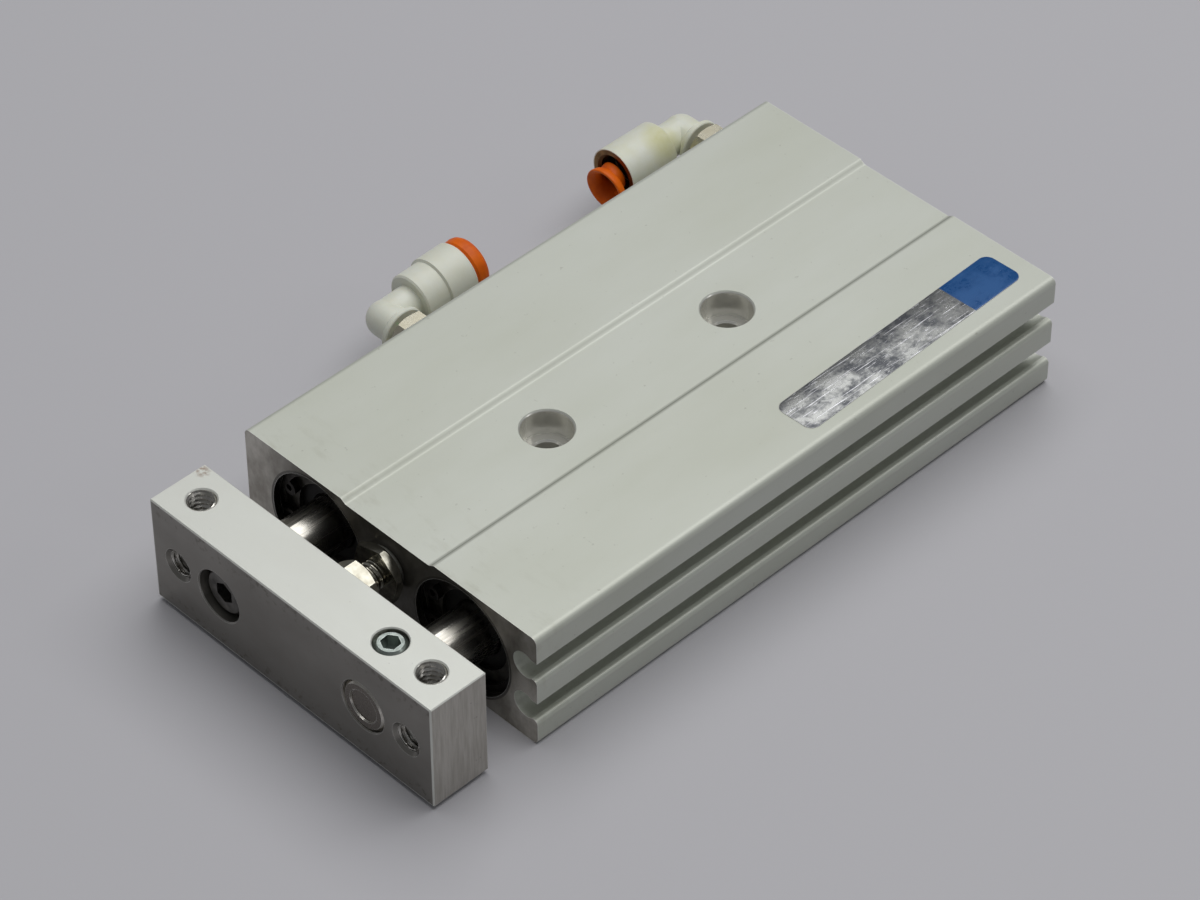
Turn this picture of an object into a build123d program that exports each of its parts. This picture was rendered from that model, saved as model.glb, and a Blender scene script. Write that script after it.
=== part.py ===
from build123d import *
import math
import os

# Twin-rod pneumatic cylinder with two push-in elbow fittings, drawn with its rods in.
# Millimetres. +X is the way the rods extend, +Y the side with the sensor grooves, +Z up.
# The origin is midway between the two mounting holes, on the plane of the two rods.

# Body
body_width = 57.0
body_height = 19.5
body_length = 101.5
body_edge_radius = 1.0
band_half_width = 8.6
band_depth = 0.55
band_step_width = 0.9
band_step_rounding = 0.6

# Mounting holes, with a screw-head seat on both faces
mounting_pitch = 35.0
front_hole_setback = 29.5
mounting_hole_radius = 2.2
mounting_seat_radius = 3.75
mounting_seat_depth = 4.3
mounting_seat_bevel = 0.25

# Bores and stroke
bore_pitch = 28.5
bore_radius = 8.0
front_bore_radius = 9.0
rear_bore_radius = 8.5
stroke = 40.0
end_gap = 0.2

# Sensor grooves
groove_pitch = 7.4
groove_radius = 2.1
groove_centre_depth = 2.3
groove_mouth = 3.4
groove_lip_radius = 0.7

# Front retaining rings and rod covers
front_ring_setback = 1.2
front_ring_thickness = 1.0
front_ring_web = 1.4
front_lug_radius = 1.2
cover_shoulder = 19.0
cover_bore_radius = 4.3
cover_ring_groove_setback = 8.0
cover_ring_section = 1.5
seal_pocket_radius = 6.2
seal_pocket_depth = 4.6
bush_radius = 5.0
bush_length = 17.0

# Rear retaining rings and head covers
rear_ring_setback = 0.7
rear_ring_thickness = 0.8
rear_ring_web = 1.3
rear_lug_radius = 1.1
head_length = 3.1
head_boss_length = 2.7
head_boss_radius = 5.5
head_dish_radius = 4.5
head_ring_section = 1.0
ring_groove_depth = 0.35
groove_slack = 0.4

# Pistons and what they carry
piston_length = 15.8
piston_gap = 0.05
piston_seat_depth = 2.0
wear_ring_place = (1.6, 4.6, 0.9)
seal_place = (5.8, 8.6, 1.7)
magnet_place = (9.8, 12.8, 1.6)
cushion_length = 4.0
cushion_radius = 6.5
tail_radius = 2.75
rivet_radius = 3.7
rivet_thickness = 0.8

# Rods
rod_radius = 4.0
running_gap = 0.03

# Tooling plate
plate_gap = 8.0
plate_thickness = 9.75
plate_width = 55.0
plate_height = 18.0
plate_edge_break = 0.15
plate_tap_pitch = 45.0
tap_radius = 2.1
tap_countersink = 0.5
top_tap_bevel = 0.2
top_tap_depth = 6.4
hole_edge_break = 0.15
rod_a_seat_depth = 2.5
rod_fit_gap = 0.02
clamp_hole_radius = 2.2

# Screws in the plate
cap_head_radius = 3.5
cap_head_height = 4.0
cap_seat_radius = 4.05
cap_seat_depth = 5.0
cap_screw_length = 12.0
cap_socket_across = 3.0
screw_radius = 2.0
set_screw_radius = 2.5
set_screw_setback = 0.15
set_screw_offset = 0.5
set_screw_bevel = 0.7
set_socket_across = 2.5
set_socket_turn = 5.0
socket_depth = 2.0

# Bumper bolt behind the plate
bumper_height = 3.6
bumper_head_across = 8.0
bumper_pad_radius = 3.4
bumper_pad_thickness = 0.95
bumper_head_thickness = 1.4
bumper_head_turn = 46.0
lock_nut_across = 7.0
lock_nut_thickness = 3.2
lock_nut_turn = 8.0
bumper_engagement = 5.5
bumper_tap_depth = 6.5

# Ports and the fittings' stems
front_port_setback = 36.0
rear_port_setback = 5.5
port_radius = 2.5
port_depth = 4.5
passage_radius = 1.5
stem_across = 7.0
stem_gasket = 0.7
stem_hex_end = 6.6
stem_radius = 1.9
stem_bore = 0.9
stem_ring_start = 8.6
stem_ring_end = 9.5
stem_end = 10.4

# Elbows, measured out from the body's side and then along the outlet
elbow_reach = 11.5
elbow_mouth = 7.4
mouth_radius = 3.75
knuckle_radius = 2.8
neck_radius = 2.7
shoulder_start = 4.9
shoulder_radius = 4.25
barrel_start = 8.95
barrel_end = 14.2
barrel_radius = 4.65
outlet_bore = 1.2
tube_stop = 4.6
tube_radius = 2.05
seal_start = 7.0
collet_start = 9.1
guide_start = 11.1
socket_radius = 3.6
guide_flange = 0.7
guide_flange_radius = 4.1
front_outlet_tilt = 2.0

# Release collars
collar_gap = 0.1
collar_flange = 2.6
collar_radius = 4.4
sleeve_radius = 2.85
collar_travel = 1.0

# Places worked out from the sizes above
body_front = mounting_pitch / 2 + front_hole_setback
body_rear = body_front - body_length
side_face = -body_width / 2
band_floor = body_height / 2 - band_depth
bore_y = {"a": -bore_pitch / 2, "b": bore_pitch / 2}
port_x = {"front": body_front - front_port_setback, "rear": body_rear + rear_port_setback}
outlet_turn = {"front": 180 - front_outlet_tilt, "rear": 0}
collar_shift = {"front": 0.0, "rear": collar_travel}

cover_front = body_front - front_ring_setback - front_ring_thickness
bush_rear = cover_shoulder + 1.0
head_rear = body_rear + rear_ring_setback + rear_ring_thickness
head_shoulder = head_rear + head_length
head_boss = head_shoulder + head_boss_length

piston_rear = head_boss + 2 * end_gap
piston_front = piston_rear + piston_length
piston_radius = bore_radius - piston_gap
piston_seat = piston_front - piston_seat_depth
cushion_front = piston_front + cushion_length
cover_nose = cushion_front + stroke + end_gap

plate_rear = body_front + plate_gap
plate_front = plate_rear + plate_thickness
plate_centre = (plate_rear + plate_front) / 2
plate_top = plate_height / 2
rod_a_front = plate_rear + rod_a_seat_depth
cap_seat = plate_front - cap_seat_depth
bumper_head_rear = body_front + bumper_pad_thickness
bumper_head_front = bumper_head_rear + bumper_head_thickness

collar_seated = barrel_end + collar_gap


def turned(profile, y=0.0, z=0.0):
    """A solid of revolution about a line along X, from (x, radius) points."""
    outline = make_face(Polyline(*profile, close=True))
    return Pos(0, y, z) * revolve(Plane.XZ * outline, axis=Axis.X)


def tube(x_low, x_high, outer, inner=0.0, y=0.0, z=0.0):
    """A plain bar or sleeve along X."""
    return turned([(x_low, inner), (x_high, inner), (x_high, outer), (x_low, outer)], y, z)


def upright(profile):
    """A solid of revolution about a line along Z, from (radius, height) points."""
    return revolve(Plane.XZ * make_face(Polyline(*profile, close=True)), axis=Axis.Z)


def hexagon(x_low, x_high, across_flats, y, z, turn=0.0):
    """A hexagonal prism along X."""
    outline = RegularPolygon(across_flats / 2, 6, major_radius=False, rotation=turn)
    return Pos(x_low, y, z) * Rot(0, 90, 0) * extrude(outline, x_high - x_low)


def o_ring(x, outer, section, y):
    """A rubber ring of octagonal section lying round a bore's axis."""
    wire = Pos(x, outer - section / 2) * RegularPolygon(section / 2, 8)
    return Pos(0, y, 0) * revolve(Plane.XZ * wire, axis=Axis.X)


def body_profile():
    """The extrusion's section: a slab with shallow centre bands and two round sensor grooves."""
    slab = RectangleRounded(body_width, body_height, body_edge_radius)
    floor_half = band_half_width - band_step_width / 2
    top_half = band_half_width + band_step_width / 2
    for side in (-1, 1):
        top = side * body_height / 2
        floor = side * band_floor
        slab -= make_face(Polyline(
            (-top_half, top), (-floor_half, floor), (floor_half, floor), (top_half, top), close=True))
        groove_z = side * groove_pitch / 2
        slab -= Pos(body_width / 2 - groove_centre_depth, groove_z) * Circle(groove_radius)
        slab -= Pos(body_width / 2, groove_z) * Rectangle(2 * groove_centre_depth, groove_mouth)
    steps = [v for v in slab.vertices() if abs(abs(v.X) - band_half_width) < band_step_width]
    return fillet(steps, band_step_rounding)


def with_rounded_lips(bar):
    """Round the lower lip of each sensor groove, where a switch is rolled in."""
    lips = []
    for side in (-1, 1):
        lip_z = side * groove_pitch / 2 - groove_mouth / 2
        lips.append(bar.edges().filter_by(Axis.X).sort_by_distance((0, body_width / 2, lip_z))[0])
    return fillet(lips, groove_lip_radius)


def mounting_hole(x):
    """A screw hole through the body, with a bevelled screw-head seat on both faces."""
    seat_floor = band_floor - mounting_seat_depth
    bevel = mounting_seat_bevel
    rim = mounting_seat_radius + bevel
    upper = [
        (mounting_hole_radius, seat_floor - bevel), (mounting_hole_radius + bevel, seat_floor),
        (mounting_seat_radius, seat_floor), (mounting_seat_radius, band_floor - bevel),
        (rim, band_floor), (rim, body_height), (0, body_height)]
    lower = [(radius, -height) for radius, height in reversed(upper)]
    return Pos(x, 0, 0) * upright(lower + upper)


def air_way(x):
    """A port in the side face and the cross drilling that feeds both bores."""
    tap = Pos(x, side_face + port_depth / 2, 0) * Rot(90, 0, 0) * Cylinder(port_radius, port_depth)
    length = bore_y["b"] - side_face
    return tap + Pos(x, side_face + length / 2, 0) * Rot(90, 0, 0) * Cylinder(passage_radius, length)


def bore_cut(y):
    """One cylinder bore with its stepped ends and the grooves of its retaining rings."""
    front_groove = body_front - front_ring_setback
    rear_groove = body_rear + rear_ring_setback
    front_groove_radius = front_bore_radius + ring_groove_depth
    rear_groove_radius = rear_bore_radius + ring_groove_depth
    return turned([
        (body_rear, 0), (body_front, 0), (body_front, front_bore_radius),
        (front_groove, front_bore_radius), (front_groove, front_groove_radius),
        (cover_front, front_groove_radius), (cover_front, front_bore_radius),
        (cover_shoulder, front_bore_radius), (cover_shoulder, bore_radius),
        (head_shoulder, bore_radius), (head_shoulder, rear_bore_radius),
        (head_rear, rear_bore_radius), (head_rear, rear_groove_radius),
        (rear_groove, rear_groove_radius), (rear_groove, rear_bore_radius),
        (body_rear, rear_bore_radius)], y)


def housing():
    """The extruded aluminium body with everything that is machined into it."""
    bar = Pos(body_rear, 0, 0) * extrude(Plane.YZ * body_profile(), body_length)
    body = with_rounded_lips(bar)
    for y in bore_y.values():
        body -= bore_cut(y)
    for side in (-1, 1):
        body -= mounting_hole(side * mounting_pitch / 2)
    for x in port_x.values():
        body -= air_way(x)
    return body


def rod_cover(y):
    """The front cover that guides a rod: stepped plug, seal pocket, bush bore and ring groove."""
    pocket_floor = cover_front - seal_pocket_depth
    groove_front = cover_front - cover_ring_groove_setback
    groove_rear = groove_front - cover_ring_section - groove_slack
    groove_floor = front_bore_radius - cover_ring_section
    bush_front = bush_rear + bush_length
    nose_bevel = 0.6
    return turned([
        (cover_front, seal_pocket_radius), (cover_front, front_bore_radius),
        (groove_front, front_bore_radius), (groove_front, groove_floor),
        (groove_rear, groove_floor), (groove_rear, front_bore_radius),
        (cover_shoulder, front_bore_radius), (cover_shoulder, bore_radius),
        (cover_nose + nose_bevel, bore_radius), (cover_nose, bore_radius - nose_bevel),
        (cover_nose, cover_bore_radius), (bush_rear, cover_bore_radius),
        (bush_rear, bush_radius), (bush_front, bush_radius),
        (bush_front, cover_bore_radius), (pocket_floor, cover_bore_radius),
        (pocket_floor, seal_pocket_radius)], y)


def cover_ring(y):
    """The O-ring between rod cover and body."""
    middle = cover_front - cover_ring_groove_setback - (cover_ring_section + groove_slack) / 2
    return o_ring(middle, front_bore_radius, cover_ring_section, y)


def rod_seal(y):
    """The lip seal round the rod: a solid back, and two lips that open towards the bore."""
    back = cover_front - 0.8
    lips = cover_front - seal_pocket_depth
    inner = rod_radius + running_gap
    outer = seal_pocket_radius
    return turned([
        (back, inner + 0.25), (back, outer), (lips, outer), (lips, outer - 0.6),
        (back - 1.9, outer - 1.0), (lips, inner + 0.5), (lips + 0.2, inner), (back - 0.5, inner)], y)


def retaining_ring(x_low, thickness, outer, web, lug_radius, y):
    """An internal snap ring: an open hoop with two eyed lugs beside its gap."""
    inner = outer - web
    gap_half_angle = math.radians(13)
    lug_angle = math.radians(21)
    reach = outer + 1
    spread = reach * math.tan(gap_half_angle)
    hoop = Circle(outer) - Circle(inner)
    hoop -= make_face(Polyline((0, 0), (-reach, spread), (-reach, -spread), close=True))
    lug_distance = inner - lug_radius / 3
    for side in (-1, 1):
        angle = math.pi + side * lug_angle
        place = Pos(lug_distance * math.cos(angle), lug_distance * math.sin(angle))
        hoop += place * Circle(lug_radius)
        hoop -= place * Circle(lug_radius * 0.45)
    return Pos(x_low, y, 0) * extrude(Plane.YZ * hoop, thickness)


def front_retaining_ring(y):
    """The snap ring that holds a rod cover in."""
    outer = front_bore_radius + ring_groove_depth - piston_gap
    return retaining_ring(cover_front, front_ring_thickness, outer, front_ring_web, front_lug_radius, y)


def rear_retaining_ring(y):
    """The snap ring that holds a head cover in."""
    outer = rear_bore_radius + ring_groove_depth - piston_gap
    x_low = head_rear - rear_ring_thickness
    return retaining_ring(x_low, rear_ring_thickness, outer, rear_ring_web, rear_lug_radius, y)


def head_groove_rear():
    """Where the head cover's ring groove starts."""
    return head_rear + 0.9


def head_cover(y):
    """The plug that closes a bore at the rear, with a boss that leaves the port clear."""
    groove_rear = head_groove_rear()
    groove_front = groove_rear + head_ring_section + groove_slack
    groove_floor = rear_bore_radius - head_ring_section
    boss_bevel = 0.4
    return turned([
        (head_rear + 1.0, 0), (head_rear + 1.0, head_dish_radius), (head_rear, head_dish_radius + 0.5),
        (head_rear, rear_bore_radius), (groove_rear, rear_bore_radius), (groove_rear, groove_floor),
        (groove_front, groove_floor), (groove_front, rear_bore_radius),
        (head_shoulder, rear_bore_radius), (head_shoulder, head_boss_radius),
        (head_boss - boss_bevel, head_boss_radius), (head_boss, head_boss_radius - boss_bevel),
        (head_boss, 0)], y)


def head_ring(y):
    """The O-ring between head cover and body."""
    middle = head_groove_rear() + (head_ring_section + groove_slack) / 2
    return o_ring(middle, rear_bore_radius, head_ring_section, y)


def groove_on_piston(place):
    """A piston groove's ends along X and its floor radius."""
    low, high, depth = place
    return piston_rear + low, piston_rear + high, piston_radius - depth


def piston(y, with_magnet):
    """A turned aluminium piston with grooves for its seal, wear ring and, on one side, magnet."""
    bevel = 0.4
    outline = [
        (piston_rear, tail_radius), (piston_rear, piston_radius - bevel),
        (piston_rear + bevel, piston_radius)]
    places = [wear_ring_place, seal_place] + ([magnet_place] if with_magnet else [])
    for low, high, floor in map(groove_on_piston, places):
        outline += [(low, piston_radius), (low, floor), (high, floor), (high, piston_radius)]
    outline += [
        (piston_front - bevel, piston_radius), (piston_front, piston_radius - bevel),
        (piston_front, rod_radius), (piston_seat, rod_radius), (piston_seat, tail_radius)]
    return turned(outline, y) - tube(piston_rear, piston_rear + rivet_thickness, rivet_radius, 0, y)


def piston_ring(place, outer, y):
    """A plain ring that fills one groove of a piston."""
    side_gap = 0.05
    low, high, floor = groove_on_piston(place)
    return tube(low + side_gap, high - side_gap, outer, floor, y)


def piston_seal(y):
    """The piston seal: a square back with a raised lip at each end."""
    low, high, floor = groove_on_piston(seal_place)
    low, high = low + 0.1, high - 0.1
    lip = piston_radius + 0.01
    return turned([
        (low, floor), (high, floor), (high, lip - 0.15), (high - 0.4, lip),
        ((low + high) / 2, lip - 0.35), (low + 0.4, lip), (low, lip - 0.15)], y)


def cushion(y):
    """The rubber ring on the rod that meets the rod cover at full stroke."""
    bevel = 0.8
    return turned([
        (piston_front, rod_radius), (cushion_front, rod_radius), (cushion_front, cushion_radius - bevel),
        (cushion_front - bevel, cushion_radius), (piston_front, cushion_radius)], y)


def rod(y, front_end, front_detail):
    """A ground steel rod: chamfered front, thinner tail through the piston, riveted rear end."""
    rivet_front = piston_rear + rivet_thickness
    bevel = 0.5
    return turned([
        (piston_rear, 0), (piston_rear, rivet_radius - bevel), (rivet_front, rivet_radius),
        (rivet_front, tail_radius), (piston_seat, tail_radius), (piston_seat, rod_radius),
        (front_end - bevel, rod_radius), (front_end, rod_radius - bevel)] + front_detail, y)


def rod_a():
    """The rod that a screw ties to the plate, tapped in its end."""
    tap_end = cap_seat - cap_screw_length - 1.5
    return rod(bore_y["a"], rod_a_front, [
        (rod_a_front, screw_radius), (tap_end, screw_radius), (tap_end - 1.0, 0)])


def rod_b():
    """The rod that a set screw clamps, flush in the plate with a shallow dish in its end."""
    front_end = plate_front - 0.05
    dish_radius = 2.6
    dish_depth = 0.25
    return rod(bore_y["b"], front_end, [
        (front_end, dish_radius), (front_end - dish_depth, dish_radius - 0.1), (front_end - dish_depth, 0)])


def front_hole(x_low, radius, bevel, y):
    """A hole in the plate, open and bevelled in front."""
    return turned([
        (x_low, 0), (x_low, radius), (plate_front - bevel, radius),
        (plate_front, radius + bevel), (plate_front, 0)], y)


def top_hole(bottom, radius, bevel, y):
    """A hole in the plate, open and bevelled on top."""
    return Pos(plate_centre, y, 0) * upright([
        (0, bottom), (radius, bottom), (radius, plate_top - bevel), (radius + bevel, plate_top),
        (0, plate_top)])


def tooling_plate():
    """The front plate: rod seats, screw seats, blind bolt tap, and taps in front and on top."""
    plate = Pos(plate_centre, 0, 0) * Box(plate_thickness, plate_width, plate_height)
    plate = chamfer(plate.edges(), plate_edge_break)
    plate -= tube(plate_rear, rod_a_front, rod_radius + rod_fit_gap, 0, bore_y["a"])
    plate -= tube(plate_rear, plate_front, clamp_hole_radius, 0, bore_y["a"])
    plate -= front_hole(cap_seat, cap_seat_radius, hole_edge_break, bore_y["a"])
    plate -= front_hole(plate_rear, rod_radius + rod_fit_gap, hole_edge_break, bore_y["b"])
    plate -= tube(plate_rear, plate_rear + bumper_tap_depth, screw_radius, 0, 0, bumper_height)
    plate -= top_hole(0, set_screw_radius, hole_edge_break, bore_y["b"] + set_screw_offset)
    for side in (-1, 1):
        y = side * plate_tap_pitch / 2
        plate -= front_hole(plate_rear, tap_radius, tap_countersink, y)
        plate -= top_hole(plate_top - top_tap_depth, tap_radius, top_tap_bevel, y)
    return plate


def cap_screw():
    """The socket-head screw that ties rod A to the plate."""
    top = cap_seat + cap_head_height
    tip = cap_seat - cap_screw_length
    bevel = 0.35
    screw = turned([
        (tip, 0), (tip, screw_radius - bevel), (tip + bevel, screw_radius), (cap_seat, screw_radius),
        (cap_seat, cap_head_radius), (top - bevel, cap_head_radius), (top, cap_head_radius - bevel),
        (top, 0)], bore_y["a"])
    return screw - hexagon(top - socket_depth, top, cap_socket_across, bore_y["a"], 0)


def set_screw():
    """The socket set screw that clamps rod B in the plate."""
    top = plate_top - set_screw_setback
    length = top - rod_radius
    screw = Cylinder(set_screw_radius, length)
    screw = chamfer(screw.edges().sort_by(Axis.Z)[-1:], set_screw_bevel)
    outline = RegularPolygon(set_socket_across / 2, 6, major_radius=False, rotation=set_socket_turn)
    screw -= Pos(0, 0, length / 2 - socket_depth) * extrude(outline, socket_depth)
    return Pos(plate_centre, bore_y["b"] + set_screw_offset, top - length / 2) * screw


def bumper_bolt():
    """The stop bolt: hexagon head towards the body, and a shank screwed into the plate."""
    flat = bumper_head_across / 2
    corner = flat / math.cos(math.pi / 6)
    bevel = corner - flat
    head = hexagon(
        bumper_head_rear, bumper_head_front, bumper_head_across, 0, bumper_height, bumper_head_turn)
    rounding = turned([
        (bumper_head_rear, 0), (bumper_head_rear, flat), (bumper_head_rear + bevel, corner),
        (bumper_head_front, corner), (bumper_head_front, 0)], 0, bumper_height)
    shank_end = plate_rear + bumper_engagement
    return (head & rounding) + tube(bumper_head_front, shank_end, screw_radius, 0, 0, bumper_height)


def bumper_pad():
    """The resin disc on the bolt's head that meets the body when the rods are in."""
    face = body_front + 0.05
    bevel = 0.3
    return turned([
        (face, 0), (face, bumper_pad_radius - bevel), (face + bevel, bumper_pad_radius),
        (bumper_head_rear, bumper_pad_radius), (bumper_head_rear, 0)], 0, bumper_height)


def lock_nut():
    """The hexagon nut that locks the bolt against the plate, bevelled on both faces."""
    rear = plate_rear - lock_nut_thickness
    flat = lock_nut_across / 2
    corner = flat / math.cos(math.pi / 6)
    bevel = 0.35
    rounding = turned([
        (rear, 0), (rear, flat), (rear + bevel, corner), (plate_rear - bevel, corner),
        (plate_rear, flat), (plate_rear, 0)], 0, bumper_height)
    nut = hexagon(rear, plate_rear, lock_nut_across, 0, bumper_height, lock_nut_turn) & rounding
    return nut - tube(rear, plate_rear, screw_radius, 0, 0, bumper_height)


def on_port(name, shape):
    """Put a fitting piece on its port: drawn with +Z out of the side face and +X to the outlet."""
    return Pos(port_x[name], side_face, 0) * Rot(90, 0, 0) * Rot(0, 0, outlet_turn[name]) * shape


def about_outlet(profile):
    """A turned piece on the outlet's axis, from (distance, radius) points."""
    piece = revolve(Plane.XZ * make_face(Polyline(*profile, close=True)), axis=Axis.X)
    return Pos(0, 0, elbow_reach) * piece


def port_stem():
    """The plated stem: thread, hexagon, and the grooved barrel that the elbow turns on."""
    thread_end = -port_depth + 0.2
    groove_floor = stem_radius - 0.5
    bevel = 0.3
    body = upright([
        (stem_bore, thread_end), (port_radius - bevel, thread_end), (port_radius, thread_end + bevel),
        (port_radius, stem_gasket), (port_radius, stem_hex_end), (stem_radius, stem_hex_end),
        (stem_radius, stem_ring_start), (groove_floor, stem_ring_start), (groove_floor, stem_ring_end),
        (stem_radius, stem_ring_end), (stem_radius - bevel, stem_end), (stem_bore, stem_end)])
    flat = stem_across / 2
    corner = flat / math.cos(math.pi / 6)
    flats = extrude(RegularPolygon(flat, 6, major_radius=False), stem_hex_end - stem_gasket)
    rounding = upright([
        (stem_bore, stem_gasket), (flat, stem_gasket), (corner, stem_gasket + 0.35),
        (corner, stem_hex_end - 0.35), (flat, stem_hex_end), (stem_bore, stem_hex_end)])
    return body + (Pos(0, 0, stem_gasket) * flats & rounding)


def port_gasket():
    """The flat washer that seals the stem on the body."""
    outer = stem_across / 2
    return upright([(port_radius, 0), (outer, 0), (outer, stem_gasket), (port_radius, stem_gasket)])


def stem_ring():
    """The O-ring between stem and elbow."""
    floor = stem_radius - 0.5
    low, high = stem_ring_start + 0.1, stem_ring_end - 0.1
    return upright([
        (floor, low), (stem_radius - 0.1, low), (stem_radius + 0.02, (low + high) / 2),
        (stem_radius - 0.1, high), (floor, high)])


def knuckle():
    """The elbow's part round the stem: flared mouth, straight wall and a domed end."""
    wall_start = elbow_mouth + 1.5
    outline = Polyline(
        (0, elbow_reach + knuckle_radius), (0, elbow_mouth), (mouth_radius - 0.15, elbow_mouth),
        (mouth_radius, elbow_mouth + 0.15), (mouth_radius, elbow_mouth + 0.7),
        (knuckle_radius, wall_start), (knuckle_radius, elbow_reach))
    dome = CenterArc((0, elbow_reach), knuckle_radius, 0, 90)
    return revolve(Plane.XZ * make_face(outline + dome), axis=Axis.Z)


def elbow():
    """The moulded elbow: knuckle over the stem, neck, and a barrel in two steps with its socket."""
    edge = 0.25
    barrel = about_outlet([
        (0, 0), (0, neck_radius), (shoulder_start, neck_radius),
        (shoulder_start, shoulder_radius - edge), (shoulder_start + edge, shoulder_radius),
        (barrel_start, shoulder_radius), (barrel_start + edge, barrel_radius),
        (barrel_end - edge, barrel_radius), (barrel_end, barrel_radius - edge), (barrel_end, 0)])
    stem_hole = stem_radius + 0.05
    hole_end = stem_end + 0.1
    stem_socket = upright([
        (0, elbow_mouth), (stem_hole, elbow_mouth), (stem_hole, hole_end), (outlet_bore, hole_end),
        (outlet_bore, elbow_reach), (0, elbow_reach)])
    flange_start = barrel_end - guide_flange
    tube_socket = about_outlet([
        (-outlet_bore, 0), (-outlet_bore, outlet_bore), (tube_stop, outlet_bore),
        (tube_stop, tube_radius), (seal_start, tube_radius), (seal_start, socket_radius),
        (flange_start, socket_radius), (flange_start, guide_flange_radius),
        (barrel_end, guide_flange_radius), (barrel_end, 0)])
    return knuckle() + barrel - stem_socket - tube_socket


def tube_seal():
    """The rubber seal that grips the tube's outside."""
    end = collet_start - 0.1
    return about_outlet([
        (seal_start, tube_radius), (end, tube_radius), (end, socket_radius - 0.3),
        (end - 0.4, socket_radius), (seal_start, socket_radius)])


def grip_collet():
    """The slotted steel collet whose fingers bite the tube."""
    end = guide_start - 0.2
    slot_width = 0.5
    slot_start = collet_start + 0.8
    collet = about_outlet([
        (collet_start, 3.0), (collet_start, socket_radius), (collet_start + 0.5, socket_radius),
        (end, 2.75), (end, tube_radius), (end - 0.5, tube_radius)])
    slot = Pos((slot_start + end) / 2, 0, elbow_reach)
    slot_length = end - slot_start
    for size in ((slot_length, 2 * socket_radius, slot_width), (slot_length, slot_width, 2 * socket_radius)):
        collet -= slot * Box(*size)
    return collet


def guide_ring():
    """The brass ring pressed into the barrel's end, which the release collar slides in."""
    inner = sleeve_radius + 0.1
    flange_start = barrel_end - guide_flange
    mouth = 0.4
    return about_outlet([
        (guide_start, inner), (barrel_end - mouth, inner), (barrel_end, inner + mouth),
        (barrel_end, guide_flange_radius), (flange_start, guide_flange_radius),
        (flange_start, socket_radius), (guide_start, socket_radius)])


def release_collar(shift):
    """The collar pressed in to free the tube: a sleeve with a thick rounded flange."""
    start = collar_seated + shift
    end = start + collar_flange
    sleeve_end = guide_start + 0.1 + shift
    bell = 0.5
    return about_outlet([
        (sleeve_end, tube_radius), (end - bell, tube_radius), (end, tube_radius + bell),
        (end, collar_radius - 0.7), (end - 0.2, collar_radius - 0.4), (end - 0.6, collar_radius - 0.1),
        (end - 1.1, collar_radius), (start + 0.5, collar_radius - 0.1), (start, collar_radius - 0.5),
        (start, sleeve_radius), (sleeve_end, sleeve_radius)])


def save(name, shape):
    """Write one piece to its own file."""
    export_step(shape, "parts/" + name + ".step")


os.makedirs("parts", exist_ok=True)

save("housing", housing())
for side, y in bore_y.items():
    save("rod_cover_" + side, rod_cover(y))
    save("guide_bush_" + side, tube(bush_rear, bush_rear + bush_length, bush_radius,
                                    rod_radius + running_gap, y))
    save("rod_seal_" + side, rod_seal(y))
    save("cover_o_ring_" + side, cover_ring(y))
    save("front_retaining_ring_" + side, front_retaining_ring(y))
    save("head_cover_" + side, head_cover(y))
    save("head_o_ring_" + side, head_ring(y))
    save("rear_retaining_ring_" + side, rear_retaining_ring(y))
    save("piston_" + side, piston(y, with_magnet=side == "b"))
    save("piston_seal_" + side, piston_seal(y))
    save("wear_ring_" + side, piston_ring(wear_ring_place, piston_radius + 0.01, y))
    save("end_cushion_" + side, cushion(y))
save("magnet_ring", piston_ring(magnet_place, piston_radius - 0.2, bore_y["b"]))
save("rod_a", rod_a())
save("rod_b", rod_b())
save("tooling_plate", tooling_plate())
save("cap_screw", cap_screw())
save("set_screw", set_screw())
save("bumper_bolt", bumper_bolt())
save("bumper_pad", bumper_pad())
save("lock_nut", lock_nut())
for name in port_x:
    save(name + "_port_stem", on_port(name, port_stem()))
    save(name + "_port_gasket", on_port(name, port_gasket()))
    save(name + "_stem_o_ring", on_port(name, stem_ring()))
    save(name + "_elbow", on_port(name, elbow()))
    save(name + "_tube_seal", on_port(name, tube_seal()))
    save(name + "_grip_collet", on_port(name, grip_collet()))
    save(name + "_guide_ring", on_port(name, guide_ring()))
    save(name + "_release_collar", on_port(name, release_collar(collar_shift[name])))
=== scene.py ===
import bmesh
import bpy
import math
from mathutils import Matrix, Vector


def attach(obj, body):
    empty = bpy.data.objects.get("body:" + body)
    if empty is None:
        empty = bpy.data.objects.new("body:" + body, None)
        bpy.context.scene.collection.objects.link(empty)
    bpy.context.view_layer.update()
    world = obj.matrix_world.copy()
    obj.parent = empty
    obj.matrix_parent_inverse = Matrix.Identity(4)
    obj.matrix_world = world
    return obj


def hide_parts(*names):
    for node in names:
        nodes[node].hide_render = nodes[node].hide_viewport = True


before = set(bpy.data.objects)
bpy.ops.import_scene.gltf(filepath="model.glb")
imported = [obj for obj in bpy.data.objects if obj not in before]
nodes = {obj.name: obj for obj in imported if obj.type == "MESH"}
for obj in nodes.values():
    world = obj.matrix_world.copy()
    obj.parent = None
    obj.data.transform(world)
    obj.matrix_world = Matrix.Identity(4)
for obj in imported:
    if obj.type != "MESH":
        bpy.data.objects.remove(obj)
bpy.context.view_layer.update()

# Cylinder body. An aluminium extrusion, sawn to length, with bores, ports and screw seats
# machined in before a pale satin anodising. The screw seats are bright bare metal, the bores are
# painted dark as painted shade, and the sawn ends are painted darker between the bores, as painted
# shade from the tooling plate.
mm = 0.001
body_front = 47.0 * mm
body_top = 9.75 * mm
handled_from_x = 34.0 * mm
band_step_y = 8.6 * mm
shade_and_grime_line_width = 0.56 * mm
band_low_z = 8.9 * mm
mounting_hole_x = 17.5 * mm
mounting_seat_radius = 3.9 * mm
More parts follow.
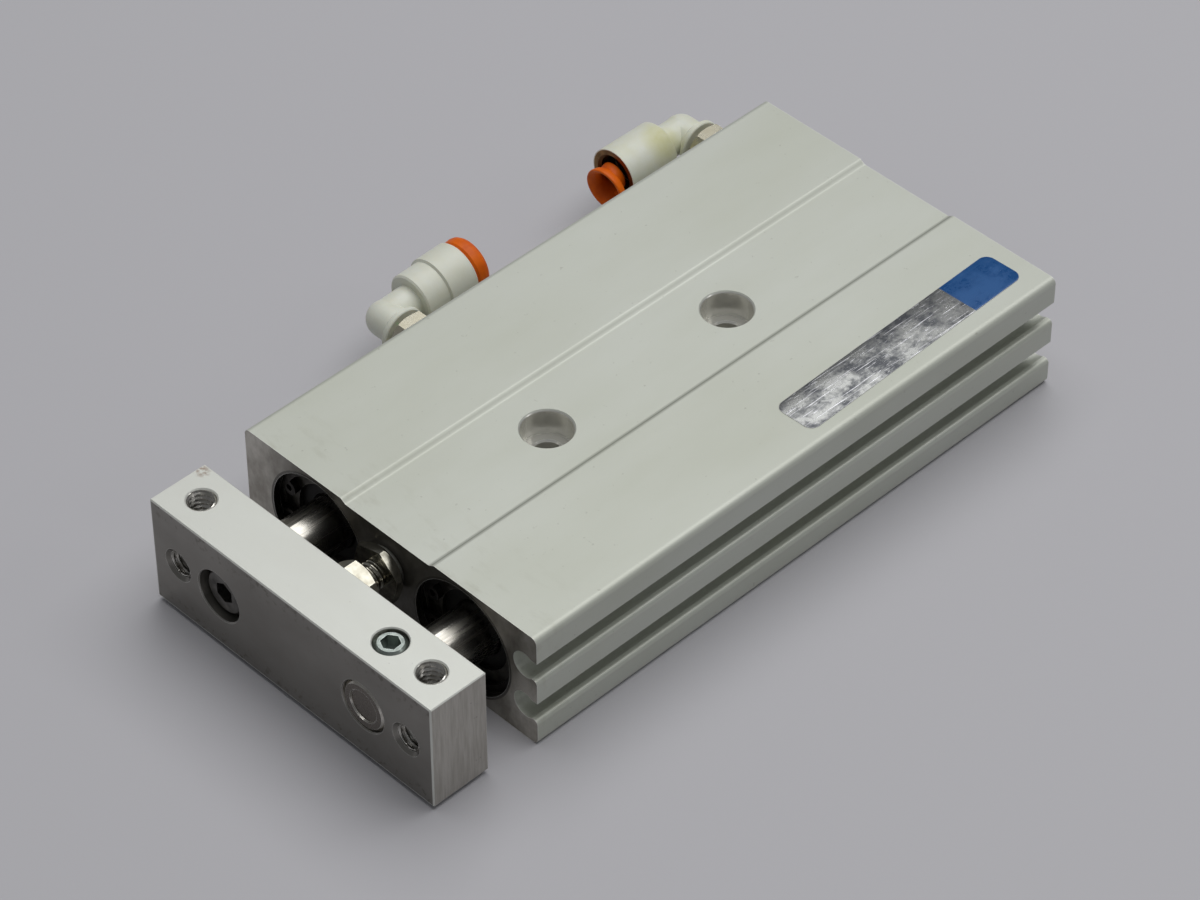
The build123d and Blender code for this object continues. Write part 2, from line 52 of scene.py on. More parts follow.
bore_axis_y = 14.25 * mm
bore_mouth_radius = 9.4 * mm
plate_shade_from_y = 26.0 * mm
plate_shade_to_y = 13.0 * mm


def rgb(red, green, blue):
    """A colour as the eye reads it, 0 to 255, turned into the linear values that the shader wants."""
    seen = [c / 255 for c in (red, green, blue)]
    return tuple(((c + 0.055) / 1.055) ** 2.4 if c > 0.04 else c / 12.92 for c in seen)


def new_finish(name, colour, metallic, roughness):
    """An empty finish with its shader set to one colour, and its node tree."""
    material = bpy.data.materials.new(name)
    material.use_nodes = True
    shader = material.node_tree.nodes["Principled BSDF"]
    shader.inputs["Base Color"].default_value = (*colour, 1)
    shader.inputs["Metallic"].default_value = metallic
    shader.inputs["Roughness"].default_value = roughness
    return material, material.node_tree, shader


def node(tree, kind, sockets, **settings):
    """Add one node, set its options, and fill its sockets with values or links."""
    made = tree.nodes.new("ShaderNode" + kind)
    for key, value in settings.items():
        setattr(made, key, value)
    for key, value in sockets.items():
        if isinstance(value, bpy.types.NodeSocket):
            tree.links.new(value, made.inputs[key])
        else:
            made.inputs[key].default_value = value
    return made


def place(tree):
    """Where a point lies on the piece, in metres."""
    return node(tree, "TexCoord", {}).outputs["Object"]


def grain(tree, size, stretch=(1, 1, 1), detail=3.0, roughness=0.55, shift=0.0):
    """Cloudy noise whose blotches are about size metres wide, drawn out along each axis by stretch."""
    scale = tuple(1 / (size * s) for s in stretch)
    mapped = node(tree, "Mapping", {"Vector": place(tree), "Scale": scale, "Location": (shift, shift, shift)})
    noise = node(tree, "TexNoise", {"Vector": mapped.outputs[0], "Scale": 1.0, "Detail": detail,
                                    "Roughness": roughness})
    return noise.outputs[0]


def between(tree, value, low, high, start=0.0, end=1.0):
    """Map value from low..high to start..end, held at both ends."""
    made = node(tree, "MapRange", {"Value": value, "From Min": low, "From Max": high, "To Min": start,
                                   "To Max": end}, clamp=True)
    return made.outputs[0]


def sums(tree, operation, first, second):
    """One sum on two values."""
    return node(tree, "Math", {0: first, 1: second}, operation=operation).outputs[0]


def unsigned(tree, value):
    """A value without its sign."""
    return sums(tree, "ABSOLUTE", value, 0.0)


def blend(tree, share, first, second):
    """The first value where share is 0, the second where it is 1."""
    return node(tree, "Mix", {0: share, 2: first, 3: second}, data_type="FLOAT").outputs[0]


def tint(tree, share, first, second):
    """The first colour where share is 0, the second where it is 1."""
    colours = {}
    for socket, value in ((6, first), (7, second)):
        colours[socket] = value if isinstance(value, bpy.types.NodeSocket) else (*value, 1)
    return node(tree, "Mix", {0: share, **colours}, data_type="RGBA").outputs[2]


def axes(tree, source):
    """The three parts of a vector."""
    return node(tree, "SeparateXYZ", {0: source}).outputs


def off_axis(tree, first, second):
    """How far a point lies from an axis, from its two distances across it."""
    across = node(tree, "CombineXYZ", {0: first, 1: second}).outputs[0]
    return node(tree, "VectorMath", {0: across}, operation="LENGTH").outputs["Value"]


def facing(tree, axis):
    """1 where the surface faces along that axis, either way, and 0 elsewhere."""
    normal = axes(tree, node(tree, "NewGeometry", {}).outputs["Normal"])[axis]
    return between(tree, unsigned(tree, normal), 0.8, 0.9)


def worn_edge(tree, width):
    """1 along every corner of the piece, fading out over about width."""
    rounded = node(tree, "Bevel", {"Radius": width}, samples=6).outputs[0]
    flat = node(tree, "NewGeometry", {}).outputs["Normal"]
    same = node(tree, "VectorMath", {0: rounded, 1: flat}, operation="DOT_PRODUCT").outputs["Value"]
    return between(tree, same, 0.985, 0.88)


def relief(tree, shader, height, depth):
    """Raise the surface by height times depth."""
    bump = node(tree, "Bump", {"Height": height, "Distance": depth, "Strength": 1.0})
    tree.links.new(bump.outputs[0], shader.inputs["Normal"])


def wear(tree, shader, base_colour, metal_colour, edge, roughness, edge_roughness):
    """Join a colour and its worn edges to the shader."""
    tree.links.new(tint(tree, edge, base_colour, metal_colour), shader.inputs["Base Color"])
    tree.links.new(blend(tree, edge, roughness, edge_roughness), shader.inputs["Roughness"])


anodised_colour = rgb(199, 202, 193)
anodised_stain = rgb(191, 194, 181)
speck_colour = rgb(120, 116, 104)
smudge_colour = rgb(146, 144, 124)
step_shade_and_grime_colour = rgb(92, 90, 74)
sawn_colour = rgb(208, 204, 194)
sawn_stain = rgb(158, 153, 142)
plate_shade_colour = rgb(62, 59, 52)
bore_shade_colour = rgb(96, 93, 86)
seat_colour = rgb(236, 235, 228)
scuffed_colour = rgb(224, 225, 219)

anodised_body, tree, shader = new_finish("anodised_body", anodised_colour, 0.35, 0.42)
x, y, z = axes(tree, place(tree))
cloud = between(tree, grain(tree, 14 * mm, (3, 1, 1), 4.0), 0.3, 0.8)
speck = between(tree, grain(tree, 0.9 * mm, (1, 1, 1), 2.0, 0.6, 3.0), 0.7, 0.78)
smudge = between(tree, grain(tree, 3.5 * mm, (0.6, 1.6, 1), 5.0, 0.65, 1.0), 0.52, 0.72)
smudge = sums(tree, "MULTIPLY", smudge, between(tree, x, handled_from_x, body_front))
colour = tint(tree, cloud, anodised_colour, anodised_stain)
colour = tint(tree, sums(tree, "MULTIPLY", speck, 0.3), colour, speck_colour)
colour = tint(tree, sums(tree, "MULTIPLY", smudge, 0.28), colour, smudge_colour)

# A thin dark line along the foot of each band step: painted shade in the crease, with some grime, stronger on
# the +Y step.
from_step = unsigned(tree, sums(tree, "SUBTRACT", unsigned(tree, y), band_step_y))
step_shade_and_grime = between(tree, from_step, shade_and_grime_line_width / 2, 0.06 * mm)
step_shade_and_grime = sums(tree, "MULTIPLY", step_shade_and_grime, between(tree, z, band_low_z, band_low_z + 0.2 * mm))
step_shade_and_grime = sums(tree, "MULTIPLY", step_shade_and_grime, between(tree, y, -8 * mm, 8 * mm, 0.15, 0.5))
colour = tint(tree, step_shade_and_grime, colour, step_shade_and_grime_colour)

sawn_end = facing(tree, 0)
smear = between(tree, grain(tree, 4 * mm, (1, 1, 1.5), 4.0, 0.6, 7.0), 0.4, 0.65)
# Painted shade: both sawn ends are darkened towards the middle, between the bores, for the shade of the
# tooling plate.
plate_shade = between(tree, unsigned(tree, y), plate_shade_from_y, plate_shade_to_y, 0.0, 0.75)
sawn = tint(tree, plate_shade, tint(tree, smear, sawn_colour, sawn_stain), plate_shade_colour)
colour = tint(tree, sawn_end, colour, sawn)

# Painted shade: the walls inside the bores are coloured dark for the shade that falls in them.
from_bore = off_axis(tree, sums(tree, "SUBTRACT", unsigned(tree, y), bore_axis_y), z)
in_bore = between(tree, from_bore, bore_mouth_radius + 0.05 * mm, bore_mouth_radius)
colour = tint(tree, in_bore, colour, bore_shade_colour)

from_hole = off_axis(tree, sums(tree, "SUBTRACT", unsigned(tree, x), mounting_hole_x), y)
in_seat = between(tree, from_hole, mounting_seat_radius, mounting_seat_radius - 0.1 * mm)
colour = tint(tree, in_seat, colour, seat_colour)

bare = sums(tree, "MAXIMUM", sums(tree, "MAXIMUM", sawn_end, in_bore), in_seat)
metal = blend(tree, bare, 0.3, 0.9)
metal = blend(tree, sawn_end, metal, 0.5)
metal = blend(tree, in_seat, metal, 0.72)
tree.links.new(metal, shader.inputs["Metallic"])
roughness = blend(tree, bare, between(tree, cloud, 0.0, 1.0, 0.40, 0.50), 0.22)
edge = sums(tree, "MULTIPLY", worn_edge(tree, 0.22 * mm), 0.75)
wear(tree, shader, colour, scuffed_colour, edge, roughness, 0.3)
relief(tree, shader, grain(tree, 0.16 * mm, (40, 1, 1), 2.0), 0.006 * mm)
nodes["housing"].data.materials.clear()
nodes["housing"].data.materials.append(anodised_body)


# Covers, pistons, guide bushes and snap rings. The covers and pistons are turned aluminium, bare
# and coloured dark grey, with fine rings of tool marks round them. The bushes are sintered bronze, and
# the snap rings and the fittings' tube grips are spring steel.
def give(finish, *names):
    """Put one finish on these nodes."""
    for name in names:
        nodes[name].data.materials.clear()
        nodes[name].data.materials.append(finish)


def both(*stems):
    """The names of pieces that each bore has."""
    return [stem + side for stem in stems for side in ("_a", "_b")]


def turned_finish(name, colour, dark, metallic, roughness, tool_marks=0.004 * mm):
    """Metal from a lathe: faint rings, cloudy tarnish and bright corners."""
    material, tree, shader = new_finish(name, colour, metallic, roughness)
    cloud = between(tree, grain(tree, 1.6 * mm, (1, 1, 1), 4.0), 0.35, 0.7)
    wear(tree, shader, tint(tree, cloud, colour, dark), tuple(min(1.0, c * 1.35) for c in colour),
         worn_edge(tree, 0.12 * mm), between(tree, cloud, 0, 1, roughness, roughness + 0.12), roughness * 0.8)
    relief(tree, shader, grain(tree, 0.12 * mm, (0.5, 3, 3), 2.0), tool_marks)
    return material


give(turned_finish("machined_aluminium", rgb(116, 114, 108), rgb(76, 73, 68), 0.9, 0.34),
     *both("rod_cover", "head_cover", "piston"))
give(turned_finish("sintered_bronze", rgb(150, 118, 76), rgb(104, 80, 52), 0.9, 0.45), *both("guide_bush"))
give(turned_finish("spring_steel", rgb(64, 61, 57), rgb(38, 36, 34), 0.9, 0.4),
     *both("front_retaining_ring", "rear_retaining_ring"), "front_grip_collet", "rear_grip_collet")


# Seals and rings. The seals are nitrile rubber, moulded black with a dull bloom, and the magnet
# ring is bonded in rubber. The wear rings are bands of pale resin.
def moulded_finish(name, colour, blotch, roughness, grain_size, scatter=0.0, gloss=0.5, stain=None):
    """Moulded rubber or resin: soft blotches, scuffed corners, and a yellow stain about a place."""
    material, tree, shader = new_finish(name, colour, 0.0, roughness)
    cloud = between(tree, grain(tree, grain_size, (1, 1, 1), 4.0), 0.35, 0.72)
    skin = tint(tree, cloud, colour, blotch)
    if stain:
        away = node(tree, "VectorMath", {0: place(tree), 1: stain}, operation="DISTANCE").outputs["Value"]
        patch = between(tree, away, 4.2 * mm, 1.6 * mm)
        patch = sums(tree, "MULTIPLY", patch, between(tree, cloud, 0, 1, 0.45, 0.85))
        skin = tint(tree, patch, skin, rgb(200, 198, 138))
    wear(tree, shader, skin, tuple(min(1.0, c * 1.2 + 0.01) for c in colour),
         worn_edge(tree, 0.15 * mm), between(tree, cloud, 0, 1, roughness, roughness + 0.1), roughness + 0.1)
    shader.inputs["Specular IOR Level"].default_value = gloss
    if scatter:
        shader.inputs["Subsurface Weight"].default_value = scatter
        shader.inputs["Subsurface Scale"].default_value = 0.6 * mm
        shader.inputs["Subsurface Radius"].default_value = (1.0, 0.8, 0.6)
    relief(tree, shader, grain(tree, 0.22 * mm, (1, 1, 1), 3.0), 0.006 * mm)
    return material


give(moulded_finish("seal_rubber", rgb(30, 30, 30), rgb(46, 45, 43), 0.55, 1.2 * mm),
     *both("rod_seal", "cover_o_ring", "head_o_ring", "piston_seal", "end_cushion"),
     "front_tube_seal", "rear_tube_seal", "front_stem_o_ring", "rear_stem_o_ring",
     "front_port_gasket", "rear_port_gasket")
give(moulded_finish("magnet_rubber", rgb(56, 52, 50), rgb(74, 68, 64), 0.6, 1.2 * mm), "magnet_ring")
give(moulded_finish("wear_ring_resin", rgb(190, 178, 150), rgb(168, 154, 126), 0.5, 1.5 * mm),
     *both("wear_ring"))


# Rods. Carbon steel, ground, hard chromed and polished, so they mirror what is round them.
# The grinding leaves hair-fine rings, and the seal has drawn faint lines along them.
chrome_colour = rgb(208, 205, 197)
chrome_cloud = rgb(184, 180, 170)
drawn_line_colour = rgb(140, 134, 120)
rod_end_colour = rgb(116, 110, 103)

hard_chromed_rod, tree, shader = new_finish("hard_chromed_rod", chrome_colour, 1.0, 0.2)
cloud = between(tree, grain(tree, 5 * mm, (2, 1, 1), 4.0), 0.35, 0.7)
line = between(tree, grain(tree, 0.7 * mm, (40, 1, 1), 3.0, 0.6, 4.0), 0.5, 0.62)
colour = tint(tree, cloud, chrome_colour, chrome_cloud)
colour = tint(tree, sums(tree, "MULTIPLY", line, 0.35), colour, drawn_line_colour)
colour = tint(tree, facing(tree, 0), colour, rod_end_colour)
wear(tree, shader, colour, rgb(225, 224, 220), worn_edge(tree, 0.15 * mm),
     between(tree, line, 0, 1, 0.24, 0.32), 0.25)
relief(tree, shader, grain(tree, 0.1 * mm, (0.6, 6, 6), 2.0), 0.002 * mm)
give(hard_chromed_rod, "rod_a", "rod_b")

# Tooling plate. Aluminium bar, milled on all sides and clear anodised: pale and even on top,
# with tool marks across its ends, and glossier in front and in its holes, where it carries oil and
# fine specks; there it is also painted darker, as painted shade.
plate_half_width = 27.5 * mm
plate_half_height = 9.0 * mm
plate_colour = rgb(216, 218, 211)
plate_cloud = rgb(210, 211, 203)
shaded_oily_colour = rgb(140, 137, 131)
shaded_oily_smear = rgb(124, 121, 115)
end_colour = rgb(186, 183, 176)
end_line_colour = rgb(168, 164, 156)
oily_speck_colour = rgb(74, 66, 54)
rust_colour = rgb(126, 88, 58)
rust_place = (56.2 * mm, -26.6 * mm, 9.0 * mm)

anodised_plate, tree, shader = new_finish("anodised_plate", plate_colour, 0.5, 0.35)
y, z = axes(tree, place(tree))[1:]
skin_depth = (0.3 * mm, 0.2 * mm)
on_end = between(tree, unsigned(tree, y), *[plate_half_width - depth for depth in skin_depth])
on_top = between(tree, unsigned(tree, z), *[plate_half_height - depth for depth in skin_depth])
shaded_oily = sums(tree, "SUBTRACT", 1.0, sums(tree, "MAXIMUM", on_end, on_top))
end_face = facing(tree, 1)
cloud = between(tree, grain(tree, 9 * mm, (1, 2, 1), 4.0), 0.3, 0.8)
smear = between(tree, grain(tree, 7 * mm, (1, 1.6, 1), 4.0, 0.5, 5.0), 0.3, 0.75)
end_line = between(tree, grain(tree, 0.35 * mm, (1, 1, 14), 3.0, 0.6, 9.0), 0.35, 0.65)
colour = tint(tree, cloud, plate_colour, plate_cloud)
# Front, back and holes darker than the top and ends: painted shade, with oily smears.
colour = tint(tree, shaded_oily, colour, tint(tree, smear, shaded_oily_colour, shaded_oily_smear))
colour = tint(tree, end_face, colour, tint(tree, end_line, end_colour, end_line_colour))

near_edge = between(tree, unsigned(tree, z), 5.5 * mm, 8.6 * mm)
speck = between(tree, grain(tree, 1.1 * mm, (1, 1, 1), 3.0, 0.65, 11.0), 0.56, 0.66)
speck = sums(tree, "MULTIPLY", speck, sums(tree, "MULTIPLY", near_edge, shaded_oily))
lone_speck = between(tree, grain(tree, 0.8 * mm, (1, 1, 1), 2.0, 0.6, 12.0), 0.74, 0.8)
speck = sums(tree, "MAXIMUM", speck, lone_speck)
colour = tint(tree, sums(tree, "MULTIPLY", speck, 0.6), colour, oily_speck_colour)
from_rust = node(tree, "VectorMath", {0: place(tree), 1: rust_place}, operation="DISTANCE").outputs["Value"]
rust = sums(tree, "MULTIPLY", between(tree, from_rust, 1.4 * mm, 0.5 * mm),
            between(tree, grain(tree, 0.7 * mm, (1, 1, 1), 3.0), 0.4, 0.6))
colour = tint(tree, sums(tree, "MULTIPLY", rust, 0.7), colour, rust_colour)

metal = blend(tree, sums(tree, "MAXIMUM", shaded_oily, end_face), 0.35, 0.8)
tree.links.new(metal, shader.inputs["Metallic"])
edge = sums(tree, "MULTIPLY", worn_edge(tree, 0.2 * mm), 0.8)
wear(tree, shader, colour, rgb(228, 228, 222), edge, blend(tree, shaded_oily, 0.4, 0.3), 0.3)
relief(tree, shader, grain(tree, 0.14 * mm, (1, 1, 30), 2.0), 0.006 * mm)
give(anodised_plate, "tooling_plate")

# Threads of the plate's taps. Each tap is cut with a 0.8 mm pitch, so fine bright ridges wind
# down its wall. Each lining stands in its drilled hole, with its roots sunk in the metal.
thread_pitch = 0.8 * mm
thread_steps = 10
tap_y = 22.5 * mm
tap_root, tap_crest = 2.12 * mm, 1.74 * mm
front_tap_start, front_tap_length = 55.0 * mm, 9.25 * mm
top_tap_x, top_tap_start, top_tap_length = 59.875 * mm, 2.6 * mm, 6.2 * mm


def settle(piece, name, finish, body):
    """Finish a piece: its place goes into its mesh, and it gets a name, a finish and a body."""
    bpy.ops.object.select_all(action="DESELECT")
    piece.select_set(True)
    bpy.context.view_layer.objects.active = piece
    bpy.ops.object.transform_apply(location=True, rotation=True, scale=True)
    bpy.ops.object.shade_smooth_by_angle(angle=math.radians(35))
    piece.name = name
    piece.data.name = name
    piece.data.materials.clear()
    piece.data.materials.append(finish)
    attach(piece, body)


def apply(piece, kind, **settings):
    """Add one modifier with its settings and apply it."""
    modifier = piece.modifiers.new(kind.lower(), kind)
    for key, value in settings.items():
        setattr(modifier, key, value)
    bpy.ops.object.modifier_apply(modifier=modifier.name)


def thread(name, start, axis, length, root, crest, finish, body):
    """A helical thread along an axis from start: an open sleeve, its ridges wound by moving its rings."""
    turn = axis.to_track_quat("Z", "Y").to_euler()
    bpy.ops.object.select_all(action="DESELECT")
    bpy.ops.mesh.primitive_cylinder_add(vertices=48, radius=root, depth=length, end_fill_type="NOTHING",
                                        location=start + axis * length / 2, rotation=turn)
    piece = bpy.context.object
    bpy.ops.object.mode_set(mode="EDIT")
    bpy.ops.mesh.select_mode(type="EDGE")
    mesh = bmesh.from_edit_mesh(piece.data)
    for edge in mesh.edges:
        middle = (edge.verts[0].co + edge.verts[1].co) / 2
        edge.select_set(abs(middle.z) < length / 4)
    mesh.select_flush_mode()
    bmesh.update_edit_mesh(piece.data)
    bpy.ops.mesh.subdivide(number_cuts=round(length / thread_pitch * thread_steps))
    mesh = bmesh.from_edit_mesh(piece.data)
    for v in mesh.verts:
        turns = math.atan2(v.co.y, v.co.x) / (2 * math.pi)
        wave = abs(((v.co.z / thread_pitch - turns) % 1) * 2 - 1)
        ridge = min(1.0, max(0.0, 1.3 * wave - 0.15))
        v.co.xy *= (root + (crest - root) * ridge) / root
    bmesh.update_edit_mesh(piece.data)
    if crest < root:
        bpy.ops.mesh.select_all(action="SELECT")
        bpy.ops.mesh.flip_normals()
    bpy.ops.object.mode_set(mode="OBJECT")
    apply(piece, "SOLIDIFY", thickness=0.12 * mm, offset=-1.0)
    settle(piece, name, finish, body)


tap_metal = turned_finish("tap_metal", rgb(206, 204, 198), rgb(150, 146, 138), 1.0, 0.22)
up, ahead = Vector((0, 0, 1)), Vector((1, 0, 0))
for side, across in (("left", -tap_y), ("right", tap_y)):
    thread("front_tap_thread_" + side, Vector((front_tap_start, across, 0)), ahead, front_tap_length,
           tap_root, tap_crest, tap_metal, "rod_assembly")
    thread("top_tap_thread_" + side, Vector((top_tap_x, across, top_tap_start)), up, top_tap_length,
           tap_root, tap_crest, tap_metal, "rod_assembly")

# Screws, stop bolt and nut. Steel: the cap screw is blacked, the set screw and the nut are
# zinc plated, and the stop bolt and the fittings' hex stems are nickel plated. A thread is wound
# on the stop bolt between its nut and its head.
bolt_thread_start = Vector((49.4 * mm, 0, 3.6 * mm))
bolt_thread_length = 2.35 * mm
bolt_thread_root, bolt_thread_crest = 1.98 * mm, 2.16 * mm
give(turned_finish("blackened_screw", rgb(112, 110, 106), rgb(74, 72, 69), 0.85, 0.3), "cap_screw")
give(turned_finish("zinc_screw", rgb(178, 186, 181), rgb(130, 138, 133), 0.95, 0.26), "set_screw")
give(turned_finish("zinc_nut", rgb(208, 206, 193), rgb(176, 171, 154), 0.9, 0.32), "lock_nut")
nickel = turned_finish("nickel_plate", rgb(218, 213, 193), rgb(198, 192, 170), 1.0, 0.22, 0.0004 * mm)
give(nickel, "front_port_stem", "rear_port_stem")
bright_bolt = turned_finish("bright_bolt", rgb(186, 183, 170), rgb(104, 101, 90), 1.0, 0.13, 0.0004 * mm)
give(bright_bolt, "bumper_bolt")
thread("bumper_bolt_thread", bolt_thread_start, ahead, bolt_thread_length, bolt_thread_root,
       bolt_thread_crest, bright_bolt, "rod_assembly")
give(moulded_finish("bumper_resin", rgb(96, 96, 90), rgb(72, 72, 67), 0.45, 1.0 * mm), "bumper_pad")

# Fittings. The elbow is moulded in off-white nylon that lets a little light in and has
# yellowed with age, a turned brass ring closes its barrel, and the release collar is orange.
resin = moulded_finish("fitting_resin", rgb(222, 224, 212), rgb(216, 217, 200), 0.36, 3.5 * mm, 0.15)
give(resin, "front_elbow", "rear_elbow")
collar_resin = moulded_finish("collar_resin", rgb(230, 106, 6), rgb(204, 84, 4), 0.42, 2.0 * mm, gloss=0.25)
give(collar_resin, "front_release_collar", "rear_release_collar")
give(turned_finish("guide_brass", rgb(138, 104, 62), rgb(100, 72, 38), 0.85, 0.34),
     "front_guide_ring", "rear_guide_ring")

# Elbow of the rear fitting. Moulded like the front one, but its barrel is one plain thin
# cylinder, with no step near its mouth, and oil has stained it yellow. It is the plain solid's
# shape with the barrel drawn in.
plain_barrel_radius = 4.25 * mm
barrel_axis_y = -40.0 * mm
knuckle_end_x = -42.0 * mm
stain_place = (-43.0 * mm, -37.4 * mm, 3.2 * mm)
weld_distance = 0.002 * mm
aged_elbow = bpy.data.objects.new("rear_plain_elbow", nodes["rear_elbow"].data.copy())
bpy.context.collection.objects.link(aged_elbow)
bpy.ops.object.select_all(action="DESELECT")
aged_elbow.select_set(True)
bpy.context.view_layer.objects.active = aged_elbow
bpy.ops.object.mode_set(mode="EDIT")
bpy.ops.mesh.select_all(action="SELECT")
bpy.ops.mesh.remove_doubles(threshold=weld_distance)
bpy.ops.mesh.customdata_custom_splitnormals_clear()
mesh = bmesh.from_edit_mesh(aged_elbow.data)
for v in mesh.verts:
    out = Vector((0, v.co.y - barrel_axis_y, v.co.z))
    if v.co.x > knuckle_end_x and out.length > plain_barrel_radius:
        v.co -= out * (1 - plain_barrel_radius / out.length)
bmesh.update_edit_mesh(aged_elbow.data)
bpy.ops.mesh.select_all(action="SELECT")
bpy.ops.mesh.remove_doubles(threshold=weld_distance)
bpy.ops.object.mode_set(mode="OBJECT")
aged_resin = moulded_finish("aged_resin", rgb(222, 224, 212), rgb(216, 217, 196), 0.36, 2.6 * mm, 0.15,
                            stain=stain_place)
settle(aged_elbow, "rear_plain_elbow", aged_resin, "rear_elbow_body")
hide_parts("rear_elbow")

# Release collar of the rear fitting. The same orange collar, but worn and pulled out, so it
# hangs crooked in its barrel: a thick round lip on a thin sleeve. Each ring of it below is how far
# out it lies, its radius, and how far it has slipped to the side, in millimetres.
collar_yaw = math.radians(2)
collar_pitch = math.radians(5)
collar_root = Vector((-35.0 * mm, -39.95 * mm, -0.03 * mm))
slip_way = Vector((0, 0.82, -0.57))
sleeve_radius = 2.3
collar_rings = (
    (0.8, sleeve_radius, 0.1), (1.25, sleeve_radius, 0.4), (1.65, sleeve_radius, 0.9), (1.68, 2.95, 0.9),
    (1.75, 3.15, 0.9), (1.95, 3.34, 0.9), (2.4, 3.5, 0.9), (2.9, 3.62, 0.9), (3.12, 3.56, 0.9),
    (3.18, 3.35, 0.9), (3.0, 3.05, 0.9), (2.6, 2.6, 0.9), (2.1, 2.3, 0.9), (1.5, 2.05, 0.9),
    (0.0, 1.98, 0.0), (0.0, sleeve_radius, 0.0))
bpy.ops.object.select_all(action="DESELECT")
bpy.ops.mesh.primitive_circle_add(vertices=64, radius=sleeve_radius * mm, location=collar_root,
                                  rotation=(0, math.radians(90), 0))
collar = bpy.context.object
bpy.ops.object.mode_set(mode="EDIT")
bpy.ops.mesh.select_all(action="SELECT")
reach, radius, slip = 0.0, sleeve_radius, 0.0
for next_reach, next_radius, next_slip in collar_rings:
    step = Vector(((next_reach - reach) * mm, 0, 0)) + slip_way * (next_slip - slip) * mm
    bpy.ops.mesh.extrude_region_move(TRANSFORM_OT_translate={"value": step})
    growth = next_radius / radius
    ring_centre = collar_root + slip_way * next_slip * mm
    bpy.ops.transform.resize(value=(1, growth, growth), center_override=ring_centre)
    reach, radius, slip = next_reach, next_radius, next_slip
bpy.ops.mesh.select_all(action="SELECT")
bpy.ops.mesh.remove_doubles(threshold=0.01 * mm)
bpy.ops.mesh.normals_make_consistent(inside=False)
bpy.ops.object.mode_set(mode="OBJECT")
apply(collar, "SUBSURF", levels=1, render_levels=1)
collar.rotation_euler = (0, math.radians(90), 0)
bpy.ops.object.transform_apply(location=True, rotation=True, scale=True)
pivot = Matrix.Translation(collar_root)
turned = Matrix.Rotation(collar_yaw, 4, "Z") @ Matrix.Rotation(collar_pitch, 4, "Y")
collar.data.transform(pivot @ turned @ pivot.inverted())
settle(collar, "rear_crooked_collar", collar_resin, "rear_collar_body")
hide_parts("rear_release_collar")

# Label. A foil sticker near the rear, bare here: one end printed plain blue, the rest silver,
# rubbed and scratched. It is stuck on a little crooked, and its corners are round.
label_length = 44.5 * mm
label_width = 6.9 * mm
label_thickness = 0.08 * mm
label_centre = Vector((-29.35 * mm, 22.0 * mm, 0))
label_turn = math.radians(1.6)
label_split = -12.0 * mm
label_corner = 1.5 * mm
label_blue = rgb(5, 74, 134)
label_blue_rubbed = rgb(36, 98, 158)
label_silver = rgb(150, 151, 149)
label_silver_rubbed = rgb(84, 86, 90)
label_scratch = rgb(214, 214, 218)
bpy.ops.object.select_all(action="DESELECT")
bpy.ops.mesh.primitive_plane_add(size=1, location=label_centre + Vector((0, 0, body_top)))
label = bpy.context.object
label.scale = (label_length, label_width, 1)
bpy.ops.object.transform_apply(location=False, rotation=False, scale=True)
bpy.ops.object.mode_set(mode="EDIT")
bpy.ops.mesh.select_all(action="SELECT")
bpy.ops.mesh.bevel(offset=label_corner, segments=8, affect="VERTICES")
bpy.ops.mesh.select_all(action="SELECT")
bpy.ops.mesh.extrude_region_move(TRANSFORM_OT_translate={"value": (0, 0, label_thickness)})
bpy.ops.mesh.select_all(action="SELECT")
bpy.ops.mesh.normals_make_consistent(inside=False)
bpy.ops.object.mode_set(mode="OBJECT")
label.rotation_euler = (0, 0, label_turn)
apply(label, "BEVEL", width=0.03 * mm, segments=2)

foil, tree, shader = new_finish("scratched_foil", label_silver, 0.85, 0.3)
straight = node(tree, "VectorRotate", {"Vector": place(tree), "Center": label_centre, "Angle": -label_turn},
                rotation_type="Z_AXIS").outputs[0]
along = node(tree, "VectorMath", {0: straight, 1: label_centre}, operation="SUBTRACT").outputs[0]
along = axes(tree, along)[0]
blue_end = between(tree, along, label_split + 0.05 * mm, label_split - 0.05 * mm)
rub = between(tree, grain(tree, 3.6 * mm, (1.3, 1, 1), 7.0, 0.72), 0.44, 0.6)
scratch = between(tree, grain(tree, 0.5 * mm, (4, 0.4, 1), 4.0, 0.7, 2.0), 0.6, 0.68)
cross = node(tree, "Mapping", {"Vector": place(tree), "Rotation": (0, 0, math.radians(35)),
                               "Scale": (1 / (7 * mm), 1 / (0.2 * mm), 1 / mm)})
cross = node(tree, "TexNoise", {"Vector": cross.outputs[0], "Scale": 1.0, "Detail": 2.0}).outputs[0]
scratch = sums(tree, "MAXIMUM", scratch, between(tree, cross, 0.62, 0.7))
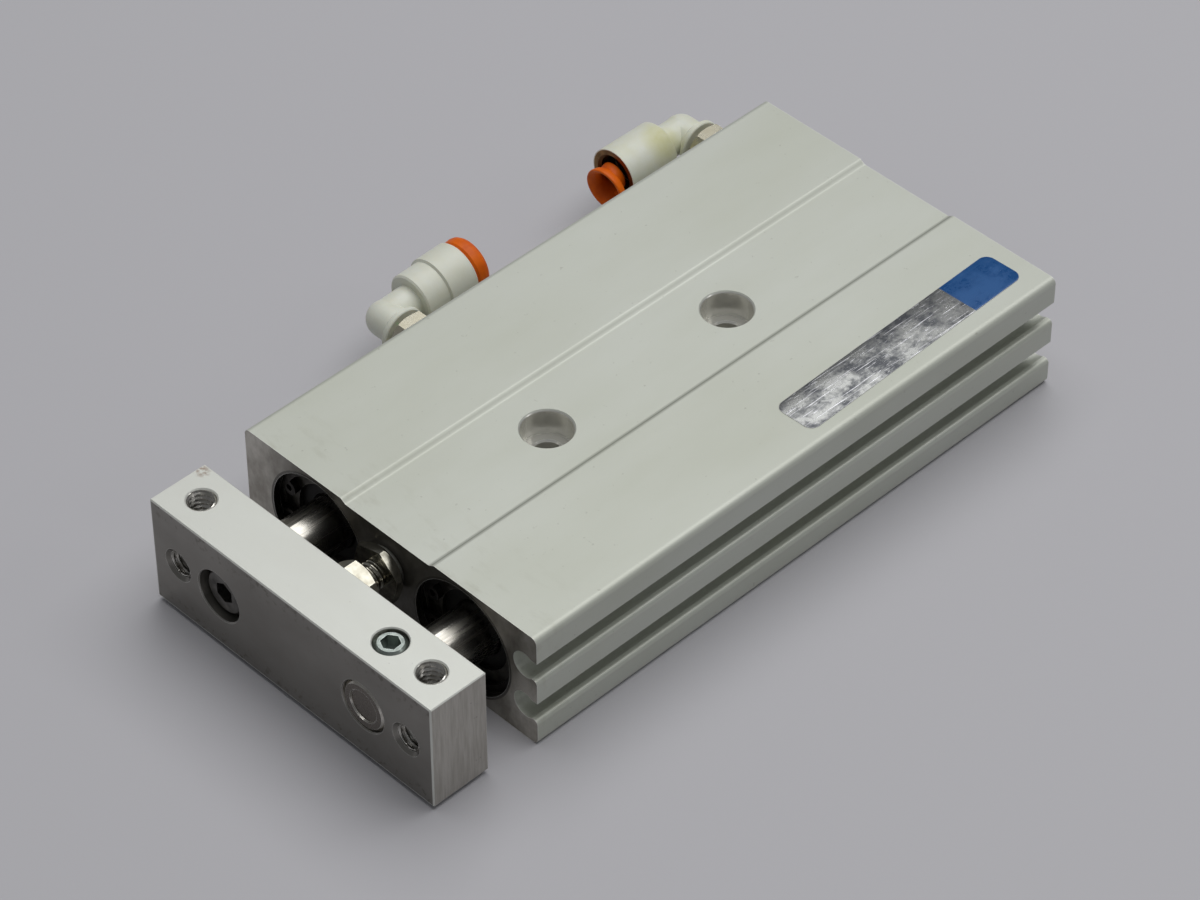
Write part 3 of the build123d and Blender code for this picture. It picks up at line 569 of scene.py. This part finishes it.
silver = tint(tree, rub, label_silver, label_silver_rubbed)
silver = tint(tree, scratch, silver, label_scratch)
blue = tint(tree, sums(tree, "MULTIPLY", rub, 0.35), label_blue, label_blue_rubbed)
colour = tint(tree, blue_end, silver, blue)
tree.links.new(blend(tree, blue_end, 0.85, 0.15), shader.inputs["Metallic"])
wear(tree, shader, colour, rgb(220, 220, 222), worn_edge(tree, 0.1 * mm), blend(tree, rub, 0.26, 0.48), 0.4)
relief(tree, shader, sums(tree, "ADD", rub, scratch), 0.01 * mm)
settle(label, "bare_label", foil, "cylinder_body")

# Bench. A plain pale floor under the cylinder, a wide soft lamp overhead and a small one beside
# it, and the camera where the photograph was taken from.
bench_size = 6.0
camera_place = (0.321993, 0.320069, 0.416904)
camera_turn = (47.01235, 0.07456, 135.42858)
camera_lens = 132.95
camera_sensor = 36.0
bpy.ops.object.select_all(action="DESELECT")
bpy.ops.mesh.primitive_plane_add(size=bench_size, location=(0, 0, -body_top))
floor = bpy.context.object
floor.name = "bench_top"
bench, tree, shader = new_finish("bench", rgb(186, 185, 189), 0.0, 0.6)
floor.data.materials.append(bench)


def lamp(name, power, size, position):
    """One soft square lamp, turned towards the cylinder."""
    aim = (-Vector(position)).to_track_quat("-Z", "Y").to_euler()
    bpy.ops.object.light_add(type="AREA", location=position, rotation=aim)
    light = bpy.context.object
    light.name = name
    light.data.energy = power
    light.data.size = size


lamp("overhead_lamp", 8.4, 1.1, (-0.25, -0.05, 0.94))
lamp("side_lamp", 0.24, 0.22, (-0.45, 0.7, 0.58))
world = bpy.data.worlds.new("room")
world.use_nodes = True
world.node_tree.nodes["Background"].inputs["Color"].default_value = (*rgb(226, 228, 232), 1)
world.node_tree.nodes["Background"].inputs["Strength"].default_value = 0.21
bpy.context.scene.world = world

bpy.ops.object.camera_add(location=camera_place, rotation=[math.radians(a) for a in camera_turn])
camera = bpy.context.object
camera.data.lens = camera_lens
camera.data.sensor_width = camera_sensor
bpy.context.scene.camera = camera
bpy.context.scene.view_settings.view_transform = "Standard"
